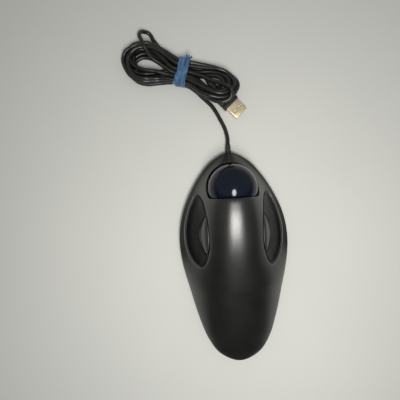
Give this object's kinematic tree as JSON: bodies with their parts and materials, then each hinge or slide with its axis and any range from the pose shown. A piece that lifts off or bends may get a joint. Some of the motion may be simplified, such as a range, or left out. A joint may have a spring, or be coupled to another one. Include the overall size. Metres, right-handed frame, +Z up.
{
  "type": "trackball mouse",
  "caption": "Finger-operated trackball mouse: long oval body, raised neck with the ball socket, key pairs on both flanks, tied cord with USB plug.",
  "frame": {"origin": "on the table under the middle of the mouse body, its cord and plug left out", "axes": "+X to the user's right, +Y away from the user towards the cord, +Z up"},
  "size_m": [0.1217, 0.2706, 0.0493],
  "materials": {
    "shell": "satin moulded plastic, fine even grain",
    "key": "smoother satin plastic than the shell",
    "base": "matt moulded plastic",
    "ball": "polished resin",
    "cup": "satin dark navy plastic",
    "stud": "polished hard bearing stud",
    "window": "clear moulded window",
    "chip": "matt black encapsulation",
    "lamp": "clear red lamp",
    "board": "green solder mask",
    "steel": "plain plated steel",
    "connector": "off-white nylon",
    "plunger": "red moulded plastic",
    "rubber": "soft black rubber",
    "cord": "satin black flexible jacket",
    "tie": "wrinkled blue stretch film",
    "plug_metal": "pale gold plating"
  },
  "bodies": {
    "case": {"top_shell": "shell", "base_plate": "base", "ball_cup": "cup", "bearing_left": "stud", "bearing_right": "stud", "bearing_front": "stud", "sensor_window": "window", "sensor_chip": "chip", "sensor_lamp": "lamp", "main_board": "board", "controller_chip": "chip", "crystal": "steel", "capacitor_1": "steel", "capacitor_2": "steel", "board_connector": "connector", "inner_lead": "cord", "left_switch": "chip", "right_switch": "chip", "left_small_switch": "chip", "right_small_switch": "chip", "case_screw_neck_left": "steel", "case_screw_neck_right": "steel", "case_screw_palm_left": "steel", "case_screw_palm_right": "steel", "case_screw_palm_end": "steel", "board_screw_left": "steel", "board_screw_right": "steel", "foot_rear_left": "rubber", "foot_rear_right": "rubber", "foot_palm_left": "rubber", "foot_palm_right": "rubber", "strain_relief": "rubber", "cable": "cord", "cable_hank": "cord", "cable_tie": "tie", "usb_plug_body": "cord", "usb_shell": "plug_metal", "usb_tongue": "connector"},
    "ball": {"ball": "ball"},
    "left_key": {"left_key": "key"},
    "right_key": {"right_key": "key"},
    "left_small_key": {"left_small_key": "key"},
    "right_small_key": {"right_small_key": "key"},
    "left_switch_plunger": {"left_switch_plunger": "plunger"},
    "right_switch_plunger": {"right_switch_plunger": "plunger"},
    "left_small_switch_plunger": {"left_small_switch_plunger": "plunger"},
    "right_small_switch_plunger": {"right_small_switch_plunger": "plunger"}
  },
  "joints": [
    {"name": "ball_roll", "type": "hinge", "parent": "case", "child": "ball", "pos_m": [0, 0.054, 0.028], "axis": [1, 0, 0], "continuous": true},
    {"name": "left_key_press", "type": "hinge", "parent": "case", "child": "left_key", "pos_m": [-0.027, 0.056, 0.02], "axis": [1, 0, 0], "range_deg": [0, 1.05], "stiffness_Nm_per_rad": 0.8},
    {"name": "left_small_key_press", "type": "slide", "parent": "case", "child": "left_small_key", "axis": [0, 0, -1], "range_m": [0, 0.00075], "stiffness_N_per_m": 500},
    {"name": "left_plunger_travel", "type": "slide", "parent": "case", "child": "left_switch_plunger", "axis": [0, 0, -1], "range_m": [0, 0.0005]},
    {"name": "left_small_plunger_travel", "type": "slide", "parent": "case", "child": "left_small_switch_plunger", "axis": [0, 0, -1], "range_m": [0, 0.0005]},
    {"name": "right_key_press", "type": "hinge", "parent": "case", "child": "right_key", "pos_m": [0.027, 0.056, 0.02], "axis": [1, 0, 0], "range_deg": [0, 1.05], "stiffness_Nm_per_rad": 0.8},
    {"name": "right_small_key_press", "type": "slide", "parent": "case", "child": "right_small_key", "axis": [0, 0, -1], "range_m": [0, 0.00075], "stiffness_N_per_m": 500},
    {"name": "right_plunger_travel", "type": "slide", "parent": "case", "child": "right_switch_plunger", "axis": [0, 0, -1], "range_m": [0, 0.0005]},
    {"name": "right_small_plunger_travel", "type": "slide", "parent": "case", "child": "right_small_switch_plunger", "axis": [0, 0, -1], "range_m": [0, 0.0005]}
  ],
  "couplings": [
    {"joint": "left_plunger_travel", "follows": "left_key_press", "m_per_rad": 0.02726},
    {"joint": "left_small_plunger_travel", "follows": "left_small_key_press", "ratio": 0.666},
    {"joint": "right_plunger_travel", "follows": "right_key_press", "m_per_rad": 0.02726},
    {"joint": "right_small_plunger_travel", "follows": "right_small_key_press", "ratio": 0.666}
  ]
}
